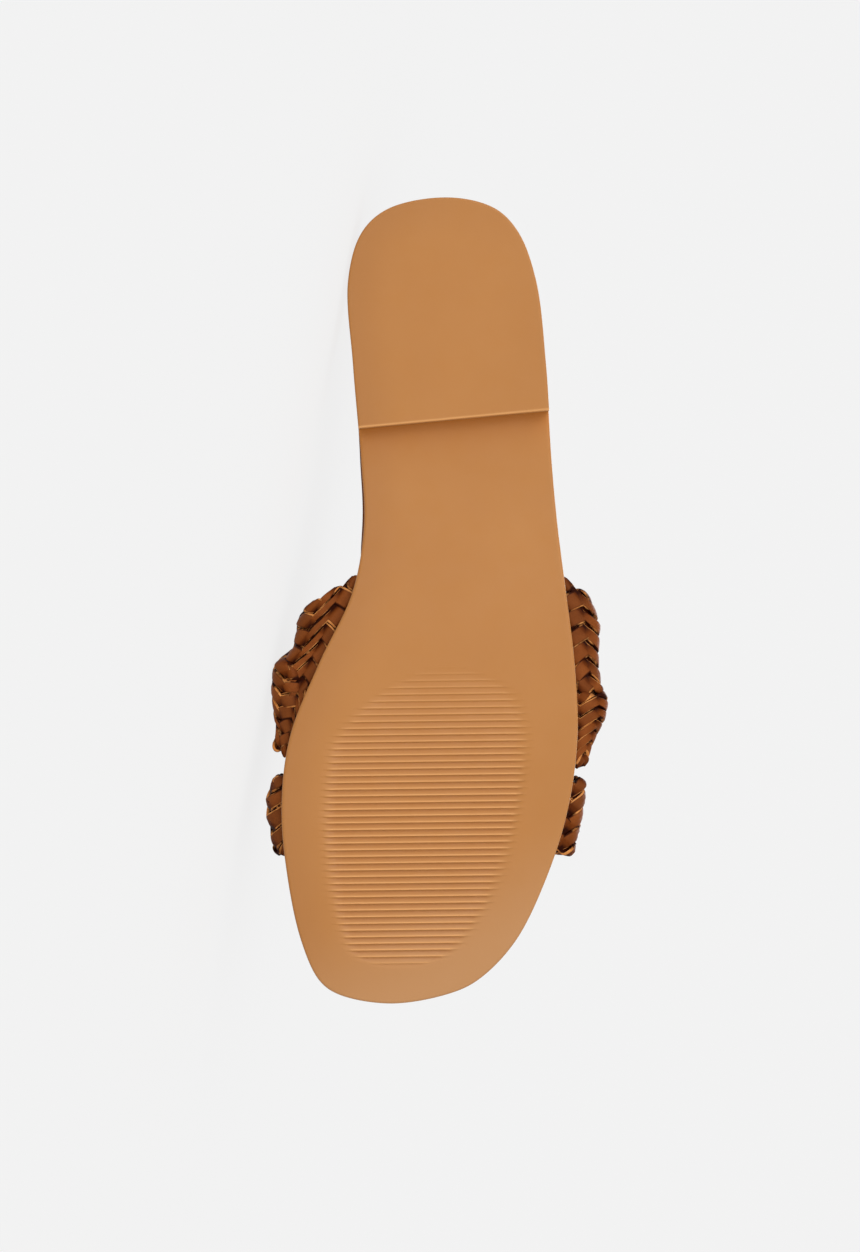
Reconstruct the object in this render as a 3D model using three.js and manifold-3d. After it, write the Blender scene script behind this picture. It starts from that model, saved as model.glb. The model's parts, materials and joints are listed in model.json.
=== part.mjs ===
// Slide sandal for the right foot: a moulded outsole with a low heel lift, a padded insole, two braided
// straps that cross over the instep, and a braided toe strap.
// It is built standing in a shoe frame, X towards the outer side, Y from heel to toe and Z up from the
// ground, and then laid on its inner side with the underside of the sole facing -Y.

import * as THREE from 'three';
import { mergeVertices } from 'three/addons/utils/BufferGeometryUtils.js';
import Module from 'manifold-3d';

const wasm = await Module();
wasm.setup();

// Driving sizes, in millimetres and degrees
const GAP = 0.3;
const OUTSOLE_THICKNESS = 3.5;
const INSOLE_THICKNESS = 4;
const HEEL_HEIGHT = 7;
const BREAST = { inner: 72, outer: 66.4 };
const TAB = { length: 11, thickness: 1.4 };
const WALL = 2.5;
const BRAID_RELIEF = 0.9;
const LOBE_RECESS = 0.9;
const SIDE_LEAN = 7;
const SHOULDER_ROUND = 20;
const TIGHTEST_BEND = 1.2;
const BEND_RISE = 4;
const NOTCH = { pastEdge: 4, pastWidth: 2, below: 1, rows: 6 };
const SOLE_GRID = { rows: 60, columns: 3 };
const HEEL_GRID = { rows: 24, columns: 3 };
const CARAMEL = 0xc1864f;
const BROWN = 0x69381a;

// Sole outline: distance of the inner and outer edges from the long axis, a row for each section
const HEEL_TIP = { x: 6, y: 0.2 };
const TOE_TIP = { x: -12.5, y: 251.4 };
const OUTLINE = [
  { y: 3.6, inner: -12.8, outer: 20.2 },
  { y: 11, inner: -21.2, outer: 27.5 },
  { y: 26, inner: -25.5, outer: 33 },
  { y: 52, inner: -24, outer: 36.1 },
  { y: 82, inner: -21.5, outer: 38 },
  { y: 102, inner: -20.6, outer: 39.8 },
  { y: 123, inner: -24.2, outer: 42.4 },
  { y: 145, inner: -34.5, outer: 45 },
  { y: 168, inner: -43.6, outer: 45.9 },
  { y: 190, inner: -46.2, outer: 43 },
  { y: 212, inner: -44.3, outer: 36.2 },
  { y: 232, inner: -40, outer: 26.4 },
  { y: 244, inner: -34.6, outer: 14.9 },
  { y: 248.4, inner: -28.8, outer: 5.6 },
];

// Height of the outsole's underside along the shoe: heel seat, waist, ball and toe spring
const PROFILE = [
  { y: 0, z: HEEL_HEIGHT },
  { y: 62, z: HEEL_HEIGHT },
  { y: 84, z: 6.2 },
  { y: 110, z: 4 },
  { y: 136, z: 1.3 },
  { y: 158, z: 0.1 },
  { y: 170, z: 0 },
  { y: 196, z: 0 },
  { y: 214, z: 0.7 },
  { y: 232, z: 2.5 },
  { y: 251.4, z: 6 },
];

// How far the insole's edge lies inside the outsole's: it shows along the inner waist and draws in at
// the straps
const INSOLE_INSET = [
  { y: 0, inner: 0.8, outer: 0.8 },
  { y: 60, inner: 0.2, outer: 0.8 },
  { y: 85, inner: -0.4, outer: 0.8 },
  { y: 108, inner: -0.4, outer: 0.8 },
  { y: 122, inner: 1.4, outer: 1.4 },
  { y: 204, inner: 1.4, outer: 1.4 },
  { y: 222, inner: 0.8, outer: 0.8 },
  { y: 251.4, inner: 0.8, outer: 0.8 },
];

// Last: outer faces of the straps at their widest, shoulder and crown of the foot's side of the wall
const LAST = [
  { y: 116, inner: -35, outer: 47, shoulder: 54, crown: 72, ridge: -3 },
  { y: 132, inner: -42.2, outer: 53.6, shoulder: 50, crown: 66, ridge: -4 },
  { y: 140, inner: -43.6, outer: 53.6, shoulder: 47.7, crown: 62.6, ridge: -4.6 },
  { y: 147, inner: -48.2, outer: 53.6, shoulder: 45.7, crown: 59.6, ridge: -5 },
  { y: 160, inner: -48.2, outer: 55.2, shoulder: 42, crown: 54.5, ridge: -6 },
  { y: 174, inner: -45.8, outer: 49.2, shoulder: 37, crown: 49, ridge: -7 },
  { y: 187, inner: -51.8, outer: 49.2, shoulder: 32, crown: 43.5, ridge: -7 },
  { y: 206, inner: -49, outer: 45.6, shoulder: 27, crown: 37, ridge: -7 },
];

// Rows of points along a strap: tab under the insole, bend round the insole's edge, and body, the last
// with a strap's own number of rows
const TAB_ROWS = 2;
const BEND_ROWS = 3;

// Straps, a row for each share of the body from its inner to its outer end: middle, width and lift
const UNDER_STRAP = {
  bodyRows: 48,
  columns: 9,
  path: [
    { share: -0.06, y: 135.6, width: 35.4, lift: 0 },
    { share: 0, y: 142.9, width: 28.6, lift: 0 },
    { share: 0.12, y: 149, width: 28, lift: 0 },
    { share: 0.5, y: 156, width: 29, lift: 0 },
    { share: 0.88, y: 164.8, width: 24, lift: 0.8 },
    { share: 1, y: 165.5, width: 21, lift: 0.9 },
    { share: 1.06, y: 166, width: 23, lift: 0 },
  ],
};
const OVER_STRAP = {
  bodyRows: 48,
  columns: 9,
  path: [
    { share: -0.06, y: 164.8, width: 20.4, lift: 0 },
    { share: 0, y: 157.8, width: 27, lift: 1.6 },
    { share: 0.12, y: 155.5, width: 30, lift: 1.7 },
    { share: 0.5, y: 149.5, width: 31, lift: 2 },
    { share: 0.68, y: 145.5, width: 30, lift: 1.6 },
    { share: 0.9, y: 140.5, width: 29, lift: 0 },
    { share: 1, y: 138.8, width: 29.6, lift: 0 },
    { share: 1.06, y: 135.8, width: 34.6, lift: 0 },
  ],
};
const TOE_STRAP = {
  bodyRows: 38,
  columns: 7,
  path: [
    { share: 0, y: 192.6, width: 22.8, lift: 0 },
    { share: 0.5, y: 192.3, width: 24, lift: 0 },
    { share: 1, y: 193.2, width: 22, lift: 0 },
  ],
};

// Smooth curve through one column of a table, held level past its ends
function column(table, key, value) {
  const slope = (a, b) => (b[value] - a[value]) / (b[key] - a[key]);
  const tangents = table.map((row, i) => {
    const before = table[Math.max(i - 1, 0)];
    const after = table[Math.min(i + 1, table.length - 1)];
    return slope(before, after);
  });
  return (at) => {
    let i = table.findIndex((row) => row[key] > at) - 1;
    if (i < 0) i = at < table[0][key] ? 0 : table.length - 2;
    const span = table[i + 1][key] - table[i][key];
    const t = THREE.MathUtils.clamp((at - table[i][key]) / span, 0, 1);
    const rise = table[i + 1][value] - table[i][value];
    const a = tangents[i] * span - rise;
    const b = rise - tangents[i + 1] * span;
    return table[i][value] + t * rise + t * (1 - t) * (a * (1 - t) + b * t);
  };
}

// Closed solid between two sheets of points, an upper and a lower one, on one grid.
// With checkered cells each second point stands as the top of a small pyramid.
function sheetSolid(rows, columns, upper, lower, checkered = false) {
  const position = [];
  const index = [];
  const at = (layer, i, j) => (layer * (rows + 1) + i) * (columns + 1) + j;
  [upper, lower].forEach((sheet) => {
    for (let i = 0; i <= rows; i += 1) {
      for (let j = 0; j <= columns; j += 1) position.push(...sheet(i, j));
    }
  });
  const quad = (a, b, c, d, turned = false) => {
    if (turned) index.push(a, b, d, b, c, d);
    else index.push(a, b, c, a, c, d);
  };
  for (let i = 0; i < rows; i += 1) {
    for (let j = 0; j < columns; j += 1) {
      const turned = checkered && (i + j) % 2 === 1;
      quad(at(0, i, j), at(0, i, j + 1), at(0, i + 1, j + 1), at(0, i + 1, j), turned);
      quad(at(1, i, j), at(1, i + 1, j), at(1, i + 1, j + 1), at(1, i, j + 1), turned);
    }
    quad(at(0, i, 0), at(0, i + 1, 0), at(1, i + 1, 0), at(1, i, 0));
    quad(at(0, i + 1, columns), at(0, i, columns), at(1, i, columns), at(1, i + 1, columns));
  }
  for (let j = 0; j < columns; j += 1) {
    quad(at(0, 0, j + 1), at(0, 0, j), at(1, 0, j), at(1, 0, j + 1));
    quad(at(0, rows, j), at(0, rows, j + 1), at(1, rows, j + 1), at(1, rows, j));
  }
  return closed(position, index);
}

// Solid from points and triangles: shared points merged, collapsed triangles dropped, faces turned out
function closed(position, index) {
  const raw = new THREE.BufferGeometry();
  raw.setAttribute('position', new THREE.Float32BufferAttribute(position, 3));
  raw.setIndex(index);
  const merged = mergeVertices(raw, 1e-3);
  const corners = merged.index.array;
  const points = merged.attributes.position;
  const [a, b, c] = [new THREE.Vector3(), new THREE.Vector3(), new THREE.Vector3()];
  const kept = [];
  let volume = 0;
  for (let k = 0; k < corners.length; k += 3) {
    const triangle = [corners[k], corners[k + 1], corners[k + 2]];
    if (new Set(triangle).size < 3) continue;
    kept.push(triangle);
    [a, b, c].forEach((corner, n) => corner.fromBufferAttribute(points, triangle[n]));
    volume += a.dot(b.cross(c));
  }
  if (volume < 0) kept.forEach((triangle) => triangle.reverse());
  return new wasm.Manifold(new wasm.Mesh({
    numProp: 3,
    vertProperties: new Float32Array(points.array),
    triVerts: new Uint32Array(kept.flat()),
  }));
}

// Sole outline as one closed curve: along the inner edge to the toe and back along the outer edge
const outlineCurve = new THREE.CatmullRomCurve3([
  new THREE.Vector3(HEEL_TIP.x, HEEL_TIP.y, 0),
  ...OUTLINE.map((row) => new THREE.Vector3(row.inner, row.y, 0)),
  new THREE.Vector3(TOE_TIP.x, TOE_TIP.y, 0),
  ...OUTLINE.map((row) => new THREE.Vector3(row.outer, row.y, 0)).reverse(),
], true);

// Point of the outline at a share of the way from heel tip to toe tip, set in by a distance
function edgePoint(side, share, inset = 0) {
  const along = side === 'inner' ? share / 2 : 1 - share / 2;
  const point = outlineCurve.getPoint(along % 1);
  const tangent = outlineCurve.getTangent(along % 1);
  return point.add(new THREE.Vector3(tangent.y, -tangent.x, 0).multiplyScalar(inset));
}

// Share of the way along one edge at which it reaches a distance from the heel
function edgeShare(side, y) {
  let [low, high] = [0, 1];
  for (let step = 0; step < 40; step += 1) {
    const middle = (low + high) / 2;
    if (edgePoint(side, middle).y < y) low = middle;
    else high = middle;
  }
  return low;
}

const edgeX = (side, y) => edgePoint(side, edgeShare(side, y)).x;
const profile = column(PROFILE, 'y', 'z');
const underside = (y) => Math.max(profile(y), 0);
const outsoleTop = (y) => underside(y) + OUTSOLE_THICKNESS;
const insoleBottom = (y) => outsoleTop(y) + GAP;
const tabTop = (y) => outsoleTop(y) + GAP + TAB.thickness;

const insoleInset = {
  inner: column(INSOLE_INSET, 'y', 'inner'),
  outer: column(INSOLE_INSET, 'y', 'outer'),
};
const flush = { inner: () => 0, outer: () => 0 };
const wholeLength = { inner: 1, outer: 1 };

// Slab that follows the sole's outline as far as the given shares, between two heights along the shoe
function soleSlab({ rows, columns }, ends, inset, heights) {
  const edge = (side, share) => {
    const { y } = edgePoint(side, share);
    return edgePoint(side, share, inset[side](y));
  };
  const sheet = (height) => (i, j) => {
    const inner = edge('inner', (ends.inner * i) / rows);
    const outer = edge('outer', (ends.outer * i) / rows);
    const point = inner.lerp(outer, j / columns);
    return [point.x, point.y, height(point.y)];
  };
  return sheetSolid(rows, columns, sheet(heights.top), sheet(heights.bottom));
}

function outsole() {
  const heights = { top: outsoleTop, bottom: underside };
  return soleSlab(SOLE_GRID, wholeLength, flush, heights);
}

function heelLift() {
  const ends = { inner: edgeShare('inner', BREAST.inner), outer: edgeShare('outer', BREAST.outer) };
  const heights = { top: (y) => underside(y) - GAP, bottom: () => 0 };
  return soleSlab(HEEL_GRID, ends, flush, heights);
}

// Room under the insole for one strap end: a slab from beyond the edge to just past the tab's end
function tabNotch(side, end) {
  const reach = TAB.length + 2 * GAP;
  const outward = side === 'inner' ? -1 : 1;
  const sheet = (height) => (i, j) => {
    const y = end.y + (i / NOTCH.rows - 0.5) * (end.width + NOTCH.pastWidth);
    const x = edgeX(side, y) + outward * (j === 0 ? NOTCH.pastEdge : -reach);
    return [x, y, height(y)];
  };
  const ceiling = (y) => tabTop(y) + GAP;
  const floor = (y) => outsoleTop(y) - NOTCH.below;
  return sheetSolid(NOTCH.rows, 1, sheet(ceiling), sheet(floor));
}

function insole() {
  const heights = { top: (y) => insoleBottom(y) + INSOLE_THICKNESS, bottom: insoleBottom };
  let solid = soleSlab(SOLE_GRID, wholeLength, insoleInset, heights);
  [UNDER_STRAP, OVER_STRAP, TOE_STRAP].forEach((strap) => {
    solid = solid.subtract(tabNotch('inner', strap.path.at(0)));
    solid = solid.subtract(tabNotch('outer', strap.path.at(-1)));
  });
  return solid;
}

const lastColumn = Object.fromEntries(
  ['inner', 'outer', 'shoulder', 'crown', 'ridge'].map((name) => [name, column(LAST, 'y', name)]),
);

// Section of the last across the shoe: tab, bend round the insole's edge, side, shoulder and crown,
// and the same down the outer side. Straight runs are joined by rounded corners.
function lastSection(y) {
  const skin = WALL + BRAID_RELIEF;
  const base = tabTop(y);
  const shoulder = lastColumn.shoulder(y);
  const lean = Math.tan(THREE.MathUtils.degToRad(SIDE_LEAN)) * (shoulder - base);
  const sides = ['inner', 'outer'].map((side) => {
    const inward = side === 'inner' ? 1 : -1;
    const edge = edgeX(side, y);
    const insoleEdge = edge + inward * (insoleInset[side](y) - 2 * GAP);
    const bend = Math.max(inward * (insoleEdge - lastColumn[side](y)) - skin, TIGHTEST_BEND);
    const rise = Math.min(bend, BEND_RISE);
    const wide = insoleEdge - inward * bend;
    return [
      new THREE.Vector2(edge + inward * TAB.length, base),
      new THREE.Vector2(insoleEdge, base),
      new THREE.Vector2(wide, base),
      new THREE.Vector2(wide + (inward * lean * rise) / (shoulder - base), base + rise),
      new THREE.Vector2(wide + inward * lean, shoulder),
    ];
  });
  const crown = new THREE.Vector2(lastColumn.ridge(y), lastColumn.crown(y));
  const [inner, outer] = sides;
  const path = new THREE.Path();
  path.moveTo(inner[0].x, inner[0].y);
  path.lineTo(inner[1].x, inner[1].y);
  path.quadraticCurveTo(inner[2].x, inner[2].y, inner[3].x, inner[3].y);
  roundOver(path, [inner[3], inner[4], crown, outer[4], outer[3]]);
  path.quadraticCurveTo(outer[2].x, outer[2].y, outer[1].x, outer[1].y);
  path.lineTo(outer[0].x, outer[0].y);
  return path;
}

// Runs up one side, over the crown and down the other, each corner rounded off: the shoulders by their
// own radius down the sides, and halfway to the crown
function roundOver(path, [start, innerShoulder, crown, outerShoulder, end]) {
  const sideShare = (foot, shoulder) => 1 - SHOULDER_ROUND / foot.distanceTo(shoulder);
  const roof = [innerShoulder.clone().lerp(crown, 0.5), outerShoulder.clone().lerp(crown, 0.5)];
  const innerStart = start.clone().lerp(innerShoulder, sideShare(start, innerShoulder));
  const outerEnd = end.clone().lerp(outerShoulder, sideShare(end, outerShoulder));
  path.lineTo(innerStart.x, innerStart.y);
  path.quadraticCurveTo(innerShoulder.x, innerShoulder.y, roof[0].x, roof[0].y);
  path.quadraticCurveTo(crown.x, crown.y, roof[1].x, roof[1].y);
  path.quadraticCurveTo(outerShoulder.x, outerShoulder.y, outerEnd.x, outerEnd.y);
  path.lineTo(end.x, end.y);
}

// Lengths along a section at which the rows of a strap's zones end
function zoneEnds(section) {
  const lengths = section.getCurveLengths();
  return [0, lengths[0], lengths[1], lengths.at(-3), lengths.at(-2), lengths.at(-1)];
}

// Braided strap: a wall on the last whose outer face stands up in diamonds, with thin flat tabs
function strap({ bodyRows, columns, path }) {
  const zoneRows = [TAB_ROWS, BEND_ROWS, bodyRows, BEND_ROWS, TAB_ROWS];
  const rows = zoneRows.reduce((sum, count) => sum + count, 0);
  const [middle, width, lift] = ['y', 'width', 'lift'].map((name) => column(path, 'share', name));
  const firstBodyRow = TAB_ROWS + BEND_ROWS;
  const place = (i, j, outside) => {
    const share = (i - firstBodyRow) / bodyRows;
    const raised = (i + j) % 2;
    const onEdge = j === 0 || j === columns;
    const across = width(share) * (j / columns - 0.5);
    const y = middle(share) + across - (onEdge && !raised ? Math.sign(across) * LOBE_RECESS : 0);
    const section = lastSection(y);
    const ends = zoneEnds(section);
    let [zone, row] = [0, i];
    while (row > zoneRows[zone]) {
      row -= zoneRows[zone];
      zone += 1;
    }
    const length = THREE.MathUtils.lerp(ends[zone], ends[zone + 1], row / zoneRows[zone]);
    const at = length / ends.at(-1);
    const point = section.getPoint(at);
    const tangent = section.getTangent(at);
    const fromTab = Math.min(i, rows - i) - TAB_ROWS;
    const full = THREE.MathUtils.smoothstep(fromTab, 1, BEND_ROWS);
    const wall = TAB.thickness + full * (WALL - TAB.thickness + raised * BRAID_RELIEF);
    const height = lift(share) * full + (outside ? wall : 0);
    return [point.x - tangent.y * height, y, point.y + tangent.x * height];
  };
  return sheetSolid(rows, columns, (i, j) => place(i, j, true), (i, j) => place(i, j, false), true);
}

function crossStraps() {
  return strap(UNDER_STRAP).add(strap(OVER_STRAP));
}

function toeStrap() {
  return strap(TOE_STRAP);
}

function mesh(name, solid, color, roughness) {
  const { vertProperties, triVerts } = solid.getMesh();
  const geometry = new THREE.BufferGeometry();
  geometry.setAttribute('position', new THREE.BufferAttribute(new Float32Array(vertProperties), 3));
  geometry.setIndex(new THREE.BufferAttribute(new Uint32Array(triVerts), 1));
  geometry.computeVertexNormals();
  const piece = new THREE.Mesh(geometry, new THREE.MeshStandardMaterial({ color, roughness, metalness: 0 }));
  piece.name = name;
  return piece;
}

const pieces = {
  outsole: mesh('outsole', outsole(), CARAMEL, 0.55),
  heel: mesh('heel_lift', heelLift(), CARAMEL, 0.55),
  insole: mesh('insole', insole(), BROWN, 0.6),
  cross: mesh('cross_straps', crossStraps(), BROWN, 0.45),
  toe: mesh('toe_strap', toeStrap(), BROWN, 0.45),
};

// Turn of the standing shoe onto its inner side: toe to +X, sole's underside to -Y, outer side up
function lyingTurn(level) {
  const onItsSide = new THREE.Matrix4().makeBasis(
    new THREE.Vector3(0, 0, 1),
    new THREE.Vector3(1, 0, 0),
    new THREE.Vector3(0, 1, 0),
  );
  const tilt = new THREE.Matrix4().makeRotationX(-THREE.MathUtils.degToRad(SIDE_LEAN));
  return tilt.multiply(onItsSide).multiply(new THREE.Matrix4().makeRotationZ(level));
}

function lowest(piece, turn) {
  return new THREE.Box3().setFromBufferAttribute(
    piece.geometry.attributes.position.clone().applyMatrix4(turn),
  ).min.z;
}

// Turn about the sole's normal at which sole edge and cross straps reach the floor together
function levelTurn() {
  let [low, high] = [-Math.PI / 8, 0];
  for (let step = 0; step < 40; step += 1) {
    const middle = (low + high) / 2;
    const turn = lyingTurn(middle);
    const soleEdge = Math.min(lowest(pieces.heel, turn), lowest(pieces.outsole, turn));
    if (soleEdge > lowest(pieces.cross, turn)) high = middle;
    else low = middle;
  }
  return low;
}

const shoe = new THREE.Group();
shoe.add(...Object.values(pieces));
shoe.quaternion.setFromRotationMatrix(lyingTurn(levelTurn()));
shoe.updateMatrixWorld(true);
const box = new THREE.Box3().setFromObject(shoe, true);
const middle = box.getCenter(new THREE.Vector3());
shoe.position.set(-middle.x, -middle.y, -box.min.z);

const sandal = new THREE.Group();
sandal.add(shoe);
export default sandal;
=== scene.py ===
"""Looks of a right-foot slide sandal that lies on its inner side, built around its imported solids.

Sizes are millimetres and degrees in the shoe's own frame, as in the part's source: X towards the outer
side, Y from heel to toe and Z up from the ground. Meshes are turned into the row frame, in metres, when
they are made.
"""

import json
import math

import bpy
import numpy as np
from mathutils import Matrix, Vector


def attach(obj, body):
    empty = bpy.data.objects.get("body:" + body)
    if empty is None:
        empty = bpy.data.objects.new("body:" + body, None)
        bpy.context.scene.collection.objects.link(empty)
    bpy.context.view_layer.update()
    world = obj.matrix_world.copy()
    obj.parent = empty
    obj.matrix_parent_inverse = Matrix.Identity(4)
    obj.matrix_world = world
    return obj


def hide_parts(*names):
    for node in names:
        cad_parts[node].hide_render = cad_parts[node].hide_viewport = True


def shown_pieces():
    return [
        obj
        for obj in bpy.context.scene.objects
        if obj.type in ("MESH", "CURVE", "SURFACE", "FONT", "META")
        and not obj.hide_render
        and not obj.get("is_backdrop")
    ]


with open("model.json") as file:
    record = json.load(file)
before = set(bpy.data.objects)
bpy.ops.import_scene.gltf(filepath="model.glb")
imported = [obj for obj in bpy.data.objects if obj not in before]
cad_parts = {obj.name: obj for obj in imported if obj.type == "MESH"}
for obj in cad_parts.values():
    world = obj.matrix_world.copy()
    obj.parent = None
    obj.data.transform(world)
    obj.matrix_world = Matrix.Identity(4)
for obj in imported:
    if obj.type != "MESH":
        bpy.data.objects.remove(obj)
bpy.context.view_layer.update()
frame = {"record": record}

MM = 0.001
SEED = 11

# Places in the shoe's frame of the two points that the record's mounts give
GROUND_POINTS = {"heel_ground": (5, 36, 0), "ball_ground": (0, 183, 0)}

# Sizes shared with the solids. The wall is that of the straps with its raised strips, and the breast is
# the heel's front edge, as distances from the heel's tip on both sides.
GAP = 0.3
OUTSOLE_THICKNESS = 3.5
INSOLE_THICKNESS = 4
BREAST = {"inner": 72, "outer": 66.4}
TAB = {"length": 11, "thickness": 1.4}
WALL = 3.4
SIDE_LEAN = 7
SHOULDER_ROUND = 20
TIGHTEST_BEND = 1.2
BEND_RISE = 4
TAB_ROWS = 2
BEND_ROWS = 3

# Outline of the sole: places of its inner and outer edge along the shoe
HEEL_TIP = (6, 0.2)
TOE_TIP = (-12.5, 251.4)
OUTLINE = {
    "y": (3.6, 11, 26, 52, 82, 102, 123, 145, 168, 190, 212, 232, 244, 248.4),
    "inner": (-12.8, -21.2, -25.5, -24, -21.5, -20.6, -24.2, -34.5, -43.6, -46.2, -44.3, -40, -34.6, -28.8),
    "outer": (20.2, 27.5, 33, 36.1, 38, 39.8, 42.4, 45, 45.9, 43, 36.2, 26.4, 14.9, 5.6),
}

# Height of the outsole's underside over the ground: heel seat, waist, ball and toe spring
PROFILE = {
    "y": (0, 62, 84, 110, 136, 158, 170, 196, 214, 232, 251.4),
    "z": (7, 7, 6.2, 4, 1.3, 0.1, 0, 0, 0.7, 2.5, 6),
}

# How far the insole's edge lies inside the outsole's
INSOLE_INSET = {
    "y": (0, 60, 85, 108, 122, 204, 222, 251.4),
    "inner": (0.8, 0.2, -0.4, -0.4, 1.4, 1.4, 0.8, 0.8),
    "outer": (0.8, 0.8, 0.8, 0.8, 1.4, 1.4, 0.8, 0.8),
}

# Last under the straps: its widest places, the heights of shoulder and crown, and the place of its ridge
LAST = {
    "y": (116, 132, 140, 147, 160, 174, 187, 206),
    "inner": (-35, -42.2, -43.6, -48.2, -48.2, -45.8, -51.8, -49),
    "outer": (47, 53.6, 53.6, 53.6, 55.2, 49.2, 49.2, 45.6),
    "shoulder": (54, 50, 47.7, 45.7, 42, 37, 32, 27),
    "crown": (72, 66, 62.6, 59.6, 54.5, 49, 43.5, 37),
    "ridge": (-3, -4, -4.6, -5, -6, -7, -7, -7),
}

# Straps: shares of the way from the inner to the outer side, the middle and width along the shoe there,
# and the lift over the last where one strap crosses the other
UNDER_STRAP = {
    "rows": 48,
    "share": (-0.06, -0.02, 0, 0.12, 0.5, 0.88, 1, 1.06),
    "middle": (135.6, 140.1, 142.9, 149, 156, 164.8, 165.5, 166),
    "width": (35.4, 31.8, 28.6, 28, 29, 24, 21, 23),
    "lift": (0, 0, 0, 0, 0, 0.8, 0.9, 0),
}
OVER_STRAP = {
    "rows": 48,
    "share": (-0.06, 0, 0.12, 0.5, 0.68, 0.9, 1, 1.06),
    "middle": (164.8, 157.8, 155.5, 149.5, 145.5, 140.5, 138.8, 135.8),
    "width": (20.4, 27, 30, 31, 30, 29, 29.6, 34.6),
    "lift": (0, 1.6, 1.8, 2.4, 2, 0, 0, 0),
}
TOE_STRAP = {
    "rows": 38,
    "share": (0, 0.5, 1),
    "middle": (192.6, 192.3, 193.2),
    "width": (22.8, 24, 22),
    "lift": (0, 0, 0),
}

# Rib patch under the ball: its sides and the depth of its grooves along the shoe. A rib rises slowly
# towards its crest and drops off within a short share of the pitch. The painted highlight along each crest
# is a share of the pitch wide, the rows are the shares at which the mesh has a line, and the ribs fade out
# at the sides.
RIB_PATCH = {
    "y": (145.5, 151, 156, 162.5, 170, 187.7, 201, 218, 231, 236.5, 240.5),
    "inner": (2, -10.4, -18, -25.2, -30.8, -33.4, -33.4, -31.2, -27.6, -24, -15),
    "outer": (10, 22, 27.4, 29.8, 30.3, 28.6, 25.6, 19.6, 11.4, 5.5, -5),
    "depth": (0, 0.24, 0.36, 0.48, 0.6, 0.76, 0.76, 0.76, 0.74, 0.64, 0),
}
RIB_PITCH = 2.095
RIB_DROP = 0.24
RIB_HIGHLIGHT_WIDTH = 0.14
RIB_ROWS = (0, 0.04, 0.08, 0.12, 0.16, 0.2, 0.27, 0.4, 0.58, 0.76, 0.88, 0.95)
RIB_SLANT = -0.0125
RIB_FIRST_CREST = 146.22
RIB_FADE = 2.8

# Painted sheen towards the toe, where the sole turns up, which reaches further back on the outer side
TOE_SHEEN_REACH = (206, 250)
TOE_SHEEN_TILT = 0.45

# Painted shade along the rim: its share on the long axis, how much more of it the inner side has and the
# outer side lacks, the distance from the axis over which that changes, and how far in it reaches
BORDER_SHADE = {"share": 0.42, "swing": 0.33, "turn": 15, "reach": 16}

# Painted shade in the grooves, painted warm bounce light in the heel's shadow in front of its front edge,
# and a painted highlight along that edge, which is full up to the first distance and gone at the second
GROOVE_SHADE = {"share": 0.6, "sharpness": 4}
BOUNCE_LIGHT_REACH = 5
HEEL_EDGE_HIGHLIGHT = (0.25, 0.9)

# Rounding of the sole's edges, and the hairline between its pieces
EDGE_RADIUS = {"outsole": 0.7, "heel": 0.5, "footbed": 1.9}
SEAM = 0.05

# Footbed: margin of the notches for the strap ends, its crown, and the dents that a foot leaves, with
# their place along the shoe, half widths and depth
NOTCH_MARGIN = 1.5
CROWN = {"height": 0.25, "reach": 12}
DENTS = {
    "heel": {"y": 34, "across": 19, "along": 26, "depth": 0.7},
    "ball": {"y": 176, "across": 27, "along": 24, "depth": 0.45},
}

# Lines of each mesh along the shoe or strap and across it, and points in a stretch of the last's section
OUTSOLE_LINES = {"behind_ribs": 90, "past_ribs": 24, "across": 53}
HEEL_LINES = {"along": 90, "across": 45}
FOOTBED_LINES = {"along": 220, "across": 61}
LINING_LINES = {"along": 170, "across": 15}
SECTION_STEPS = 40

# Braid: strips in each strap, how far the weave is shifted along it, the strips' thickness, the share of
# their room that they fill, the height of each layer over or under the braid's middle, and how far a
# strip bulges where it turns back at the strap's edge
STRIP_COUNT = {"under": 12, "over": 12, "toe": 8}
STRIP_SHIFT = {"under": 1.65, "over": -0.45, "toe": 0}
STRIP_THICKNESS = 1.25
STRIP_FILL = 0.92
STRIP_LAYER = 0.72
LOBE = 1.1
BRAID_SHARP = 60

# How abruptly a strip changes layers, the rows that it leaves free at the strap's ends, and the places, in
# crossings, at which it is sampled: the usual step, and closer ones where it turns back
CROSSING_SHARPNESS = 2.8
STRIP_END = 0.8
STRIP_STEP = 2 / 7
ROLL_SAMPLES = {"reach": 0.42, "count": 13, "clear": 0.5}

# Slow waves that make a strip uneven: strength, and rate along it
TWIST_WAVES = ((0.13, 0.61), (0.07, 1.7))
SWAY_WAVE = (0.24, 0.43)
WIDTH_WAVE = (0.09, 0.37)

# Smooth backing of each braid, set in from its edges and ends, and how far its lower face is off the last
LINING = {"thickness": 0.6, "inset": 1.3, "end": 0.4}
LINING_RISE = {"under": 0, "over": 0.1, "toe": 0}
BRAID_MIDDLE = LINING["thickness"] + STRIP_LAYER + STRIP_THICKNESS / 2

# Section across a strip: places across its half width, heights of its face as shares of the thickness,
# and how much of the raw cut edge shows, which also sets the painted shade in the crevices along its edges
STRIP_SECTION = {
    "across": (-1, -0.95, -0.85, -0.72, 0, 0.72, 0.85, 0.95, 1),
    "height": (0.1, 0.33, 0.43, 0.48, 0.53, 0.48, 0.43, 0.33, 0.1),
    "edge": (1, 1, 0.9, 0, 0, 0, 0.9, 1, 1),
}

# Camera: what the photograph shows from top to bottom, the point in its middle and the distance
PHOTO = {"height": 1252, "mm_per_pixel": 0.3113}
VIEW_CENTRE = (0, 133.5, 2)
VIEW_DISTANCE = 1500
SENSOR = 36
CLIP_START = 0.05


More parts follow.
